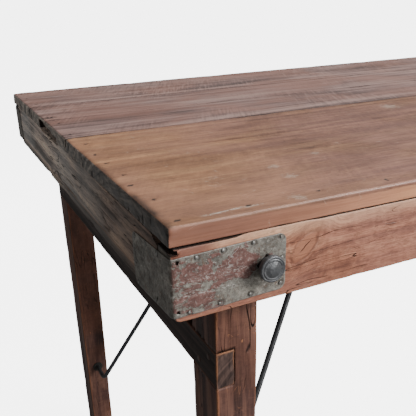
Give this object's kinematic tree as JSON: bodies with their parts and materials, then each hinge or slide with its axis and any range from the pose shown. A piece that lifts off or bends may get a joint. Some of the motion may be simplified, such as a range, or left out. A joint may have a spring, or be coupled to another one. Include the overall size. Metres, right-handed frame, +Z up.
{
  "type": "folding table",
  "caption": "Folding trestle table: plank top on a shallow apron, with hinged leg frames, bent round-bar stays and sheet-iron corner plates.",
  "frame": {"origin": "on the floor under the middle of the top", "axes": "+Z up, +X along the top towards its right end, +Y towards the back"},
  "size_m": [1.8304, 0.7806, 0.76],
  "materials": {
    "front_board": "worn satin, orange-brown",
    "grey_boards": "dry, grey-brown, cross saw marks",
    "apron_wood": "worn reddish-brown paint",
    "end_wood": "weathered dark grey",
    "batten_wood": "raw, darkened",
    "leg_wood": "dark reddish-brown, scratched",
    "rail_wood": "dark brown",
    "peg_wood": "raw",
    "sheet_iron": "dull tin with dark red paint flaking off",
    "tacks": "worn bright",
    "nails": "rusted dark",
    "bolt_steel": "dark, worn on the edges",
    "black_iron": "black, dull",
    "hardware": "dark steel"
  },
  "bodies": {
    "table_top": {"front_top_board": "front_board", "front_middle_board": "grey_boards", "back_middle_board": "grey_boards", "back_top_board": "grey_boards", "front_apron": "apron_wood", "back_apron": "apron_wood", "left_end_rail": "end_wood", "right_end_rail": "end_wood", "left_batten": "batten_wood", "centre_batten": "batten_wood", "right_batten": "batten_wood", "batten_screws": "hardware", "end_nails": "nails", "edge_nails": "nails", "front_left_corner_plate": "sheet_iron", "front_left_plate_nails": "tacks", "front_left_pivot_bolt": "bolt_steel", "front_left_spacer": "hardware", "front_left_washer": "hardware", "front_left_nut": "bolt_steel", "front_right_corner_plate": "sheet_iron", "front_right_plate_nails": "tacks", "front_right_pivot_bolt": "bolt_steel", "front_right_spacer": "hardware", "front_right_washer": "hardware", "front_right_nut": "bolt_steel", "back_left_corner_plate": "sheet_iron", "back_left_plate_nails": "tacks", "back_left_pivot_bolt": "bolt_steel", "back_left_spacer": "hardware", "back_left_washer": "hardware", "back_left_nut": "bolt_steel", "back_right_corner_plate": "sheet_iron", "back_right_plate_nails": "tacks", "back_right_pivot_bolt": "bolt_steel", "back_right_spacer": "hardware", "back_right_washer": "hardware", "back_right_nut": "bolt_steel", "left_stay_catch": "black_iron", "left_catch_screws": "hardware", "right_stay_catch": "black_iron", "right_catch_screws": "hardware"},
    "left_leg_frame": {"front_left_leg": "leg_wood", "back_left_leg": "leg_wood", "left_leg_rail": "rail_wood", "left_rail_pegs": "peg_wood", "left_stay_bushes": "hardware"},
    "left_stay": {"front_left_stay_arm": "black_iron", "back_left_stay_arm": "black_iron", "left_stay_cross_bar": "black_iron"},
    "right_leg_frame": {"front_right_leg": "leg_wood", "back_right_leg": "leg_wood", "right_leg_rail": "rail_wood", "right_rail_pegs": "peg_wood", "right_stay_bushes": "hardware"},
    "right_stay": {"front_right_stay_arm": "black_iron", "back_right_stay_arm": "black_iron", "right_stay_cross_bar": "black_iron"}
  },
  "joints": [
    {"name": "left_leg_fold", "type": "hinge", "parent": "table_top", "child": "left_leg_frame", "pos_m": [-0.828, 0, 0.711], "axis": [0, -1, 0], "range_deg": [0, 90]},
    {"name": "left_stay_swing", "type": "hinge", "parent": "left_leg_frame", "child": "left_stay", "pos_m": [-0.84, 0, 0.2], "axis": [0, -1, 0], "range_deg": [-149.4, 0]},
    {"name": "right_leg_fold", "type": "hinge", "parent": "table_top", "child": "right_leg_frame", "pos_m": [0.828, 0, 0.711], "axis": [0, 1, 0], "range_deg": [0, 90]},
    {"name": "right_stay_swing", "type": "hinge", "parent": "right_leg_frame", "child": "right_stay", "pos_m": [0.84, 0, 0.2], "axis": [0, 1, 0], "range_deg": [-152.4, 0]}
  ],
  "couplings": [
    {"joint": "left_stay_swing", "follows": "left_leg_fold", "ratio": -1.659},
    {"joint": "right_stay_swing", "follows": "right_leg_fold", "ratio": -1.6923}
  ]
}
